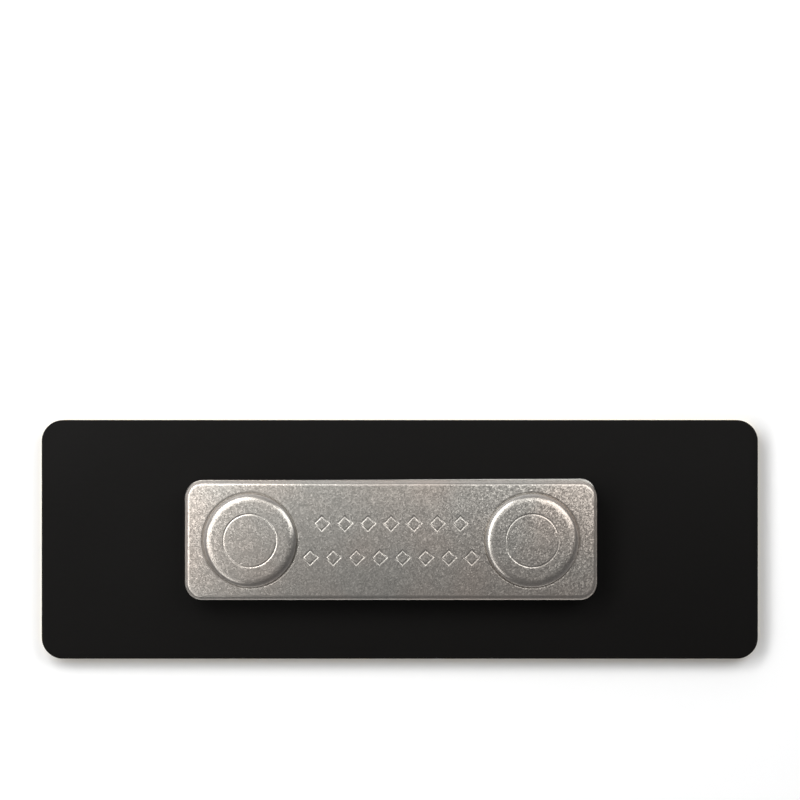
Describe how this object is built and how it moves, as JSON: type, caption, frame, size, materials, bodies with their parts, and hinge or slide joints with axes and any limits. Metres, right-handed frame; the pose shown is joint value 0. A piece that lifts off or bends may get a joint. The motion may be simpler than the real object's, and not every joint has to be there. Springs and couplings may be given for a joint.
{
  "type": "magnetic name badge",
  "caption": "Flat oblong name badge with a brushed gold front, a black back and a steel magnet bar that pulls off its strip, lying on its front.",
  "frame": {"origin": "middle of the gold front face, on the surface that the badge lies on", "axes": "+X along the badge's length, +Y up the badge's height as seen from the back, +Z from the gold face through the back to the magnet bar"},
  "size_m": [0.0762, 0.0254, 0.0065],
  "materials": {
    "gold_sheet": "gold anodised, brushed along its length",
    "black_plastic": "plain matt black",
    "foam_tape": "closed-cell foam with an adhesive face",
    "strip_steel": "rolled and zinc plated",
    "cover_steel": "stamped and tumbled, satin with a fine grain",
    "nickel_plate": "nickel plated"
  },
  "bodies": {
    "badge": {"face_plate": "gold_sheet", "back_board": "black_plastic", "adhesive_pad": "foam_tape", "base_strip": "strip_steel"},
    "magnet_bar": {"magnet_cover": "cover_steel", "magnet_left": "nickel_plate", "magnet_right": "nickel_plate"}
  },
  "joints": [
    {"name": "magnet_pull", "type": "slide", "parent": "badge", "child": "magnet_bar", "axis": [0, 0, 1], "range_m": [0, 0.02]}
  ]
}
